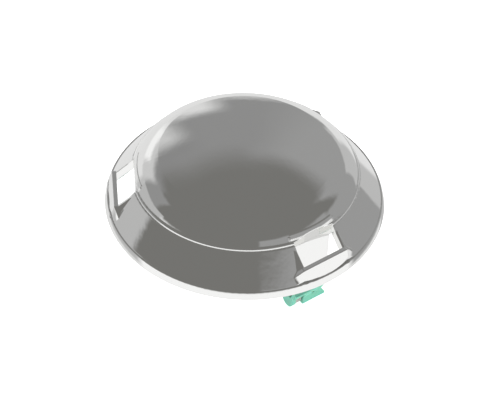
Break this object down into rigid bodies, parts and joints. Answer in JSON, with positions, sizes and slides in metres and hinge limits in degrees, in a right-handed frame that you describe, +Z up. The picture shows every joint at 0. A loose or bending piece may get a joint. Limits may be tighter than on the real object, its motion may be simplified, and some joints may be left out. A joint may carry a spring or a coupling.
{
  "type": "hub cover cap",
  "caption": "Chrome plated domed wheel cover cap with a conical flange, rolled lip, window openings and sprung green nylon latches beneath.",
  "frame": {"origin": "on the cap's axis, at the level of the hinge cheeks' feet, on which the cap stands", "axes": "+Z up along the axis through the crown; one window lies on -X and the others at 120 degree steps, so -Y looks between two windows"},
  "size_m": [0.165, 0.165, 0.0752],
  "materials": {
    "chrome_plating": "mirror plated moulding",
    "green_nylon": "satin moulded nylon",
    "spring_steel": "drawn wire",
    "pin_steel": "turned"
  },
  "bodies": {
    "cover": {"cover_shell": "chrome_plating", "hinge_pin_1": "pin_steel", "hinge_pin_2": "pin_steel", "hinge_pin_3": "pin_steel"},
    "latch_body_1": {"latch_1": "green_nylon", "latch_spring_1": "spring_steel"},
    "latch_body_2": {"latch_2": "green_nylon", "latch_spring_2": "spring_steel"},
    "latch_body_3": {"latch_3": "green_nylon", "latch_spring_3": "spring_steel"}
  },
  "joints": [
    {"name": "latch_hinge_1", "type": "hinge", "parent": "cover", "child": "latch_body_1", "pos_m": [-0.0611, 0, 0.0049], "axis": [0, 1, 0], "range_deg": [0, 15], "stiffness_Nm_per_rad": 0.12, "springref_deg": -20.05},
    {"name": "latch_hinge_2", "type": "hinge", "parent": "cover", "child": "latch_body_2", "pos_m": [0.03055, -0.05291, 0.0049], "axis": [-0.866, -0.5, 0], "range_deg": [0, 15], "stiffness_Nm_per_rad": 0.12, "springref_deg": -20.05},
    {"name": "latch_hinge_3", "type": "hinge", "parent": "cover", "child": "latch_body_3", "pos_m": [0.03055, 0.05291, 0.0049], "axis": [0.866, -0.5, 0], "range_deg": [0, 15], "stiffness_Nm_per_rad": 0.12, "springref_deg": -20.05}
  ]
}
